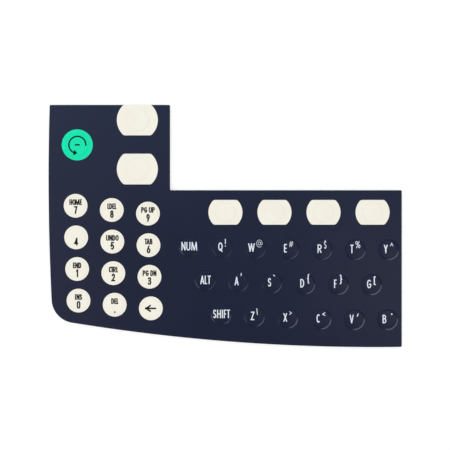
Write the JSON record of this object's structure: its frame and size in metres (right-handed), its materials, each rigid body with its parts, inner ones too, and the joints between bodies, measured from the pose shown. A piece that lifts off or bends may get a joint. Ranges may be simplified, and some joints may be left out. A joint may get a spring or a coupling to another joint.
{
  "type": "membrane keypad",
  "caption": "Flat L-shaped membrane keypad with embossed number, letter and soft keys round a display window: a printed film laminate over metal domes, with an adhesive back.",
  "frame": {"origin": "middle of the panel's bounding box, on the back face of the release liner", "axes": "+X to the right along the key rows, +Y up the panel, +Z out of the key face"},
  "size_m": [0.159, 0.109, 0.0021],
  "materials": {
    "overlay_film": "fine textured matte polyester",
    "cream_ink": "printed field under matte film",
    "green_ink": "printed field under matte film",
    "adhesive": "clear acrylic transfer adhesive",
    "spacer_film": "milky polyester spacer",
    "dome_steel": "bright stainless spring steel",
    "circuit_film": "clear polyester film",
    "silver_ink": "screen-printed silver ink",
    "liner_paper": "siliconised kraft release paper"
  },
  "bodies": {
    "root": {"graphic_overlay": "overlay_film", "cream_key_print": "cream_ink", "green_key_print": "green_ink", "overlay_adhesive": "adhesive", "dome_retainer": "spacer_film", "dome_green": "dome_steel", "dome_side_upper": "dome_steel", "dome_side_lower": "dome_steel", "dome_7": "dome_steel", "dome_8": "dome_steel", "dome_9": "dome_steel", "dome_4": "dome_steel", "dome_5": "dome_steel", "dome_6": "dome_steel", "dome_1": "dome_steel", "dome_2": "dome_steel", "dome_3": "dome_steel", "dome_0": "dome_steel", "dome_point": "dome_steel", "dome_back": "dome_steel", "dome_soft_1": "dome_steel", "dome_soft_2": "dome_steel", "dome_soft_3": "dome_steel", "dome_soft_4": "dome_steel", "dome_num": "dome_steel", "dome_q": "dome_steel", "dome_w": "dome_steel", "dome_e": "dome_steel", "dome_r": "dome_steel", "dome_t": "dome_steel", "dome_y": "dome_steel", "dome_alt": "dome_steel", "dome_a": "dome_steel", "dome_s": "dome_steel", "dome_d": "dome_steel", "dome_f": "dome_steel", "dome_g": "dome_steel", "dome_shift": "dome_steel", "dome_z": "dome_steel", "dome_x": "dome_steel", "dome_c": "dome_steel", "dome_v": "dome_steel", "dome_b": "dome_steel", "upper_circuit_film": "circuit_film", "upper_conductors": "silver_ink", "circuit_spacer": "spacer_film", "lower_circuit_film": "circuit_film", "lower_conductors": "silver_ink", "rear_adhesive": "adhesive", "release_liner": "liner_paper"}
  },
  "joints": []
}
